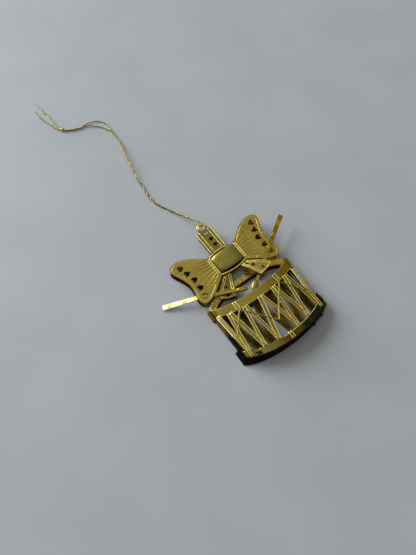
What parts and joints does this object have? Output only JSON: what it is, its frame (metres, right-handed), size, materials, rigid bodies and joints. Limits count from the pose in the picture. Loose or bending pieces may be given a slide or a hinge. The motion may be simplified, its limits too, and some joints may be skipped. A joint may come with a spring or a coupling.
{
  "type": "christmas ornament",
  "caption": "Flat two-layer drum ornament in gold-plated etched sheet metal, with a bow, crossed drumsticks, ribbon tails, a hanging tab and a doubled metallic thread.",
  "frame": {"origin": "on the surface it lies on, below the middle of the rigid pieces", "axes": "+Z out of the decorated face, +Y towards the hanging tab, +X to the side of the right drumstick"},
  "size_m": [0.073, 0.1908, 0.0069],
  "materials": {
    "gold": "bright gold plate, slightly satin",
    "dark_gold": "darkened, satin",
    "thread": "twisted metallic yarn"
  },
  "bodies": {
    "root": {"back_plate": "gold", "bow_front": "gold", "bow_knot": "gold", "hanging_strip": "gold", "ribbon_tail_left": "gold", "ribbon_tail_right": "gold", "drumstick_left": "gold", "drumstick_right": "gold", "drumhead_rim": "gold", "drum_front_panel": "gold", "drum_side_left": "gold", "drum_side_right": "gold", "lower_hoop_wall": "dark_gold", "thread_eye_loop": "thread", "thread_doubled": "thread", "thread_strand_upper": "thread", "thread_strand_lower": "thread", "thread_rejoined": "thread", "thread_knot": "thread", "thread_end_upper": "thread", "thread_end_lower": "thread"}
  },
  "joints": []
}
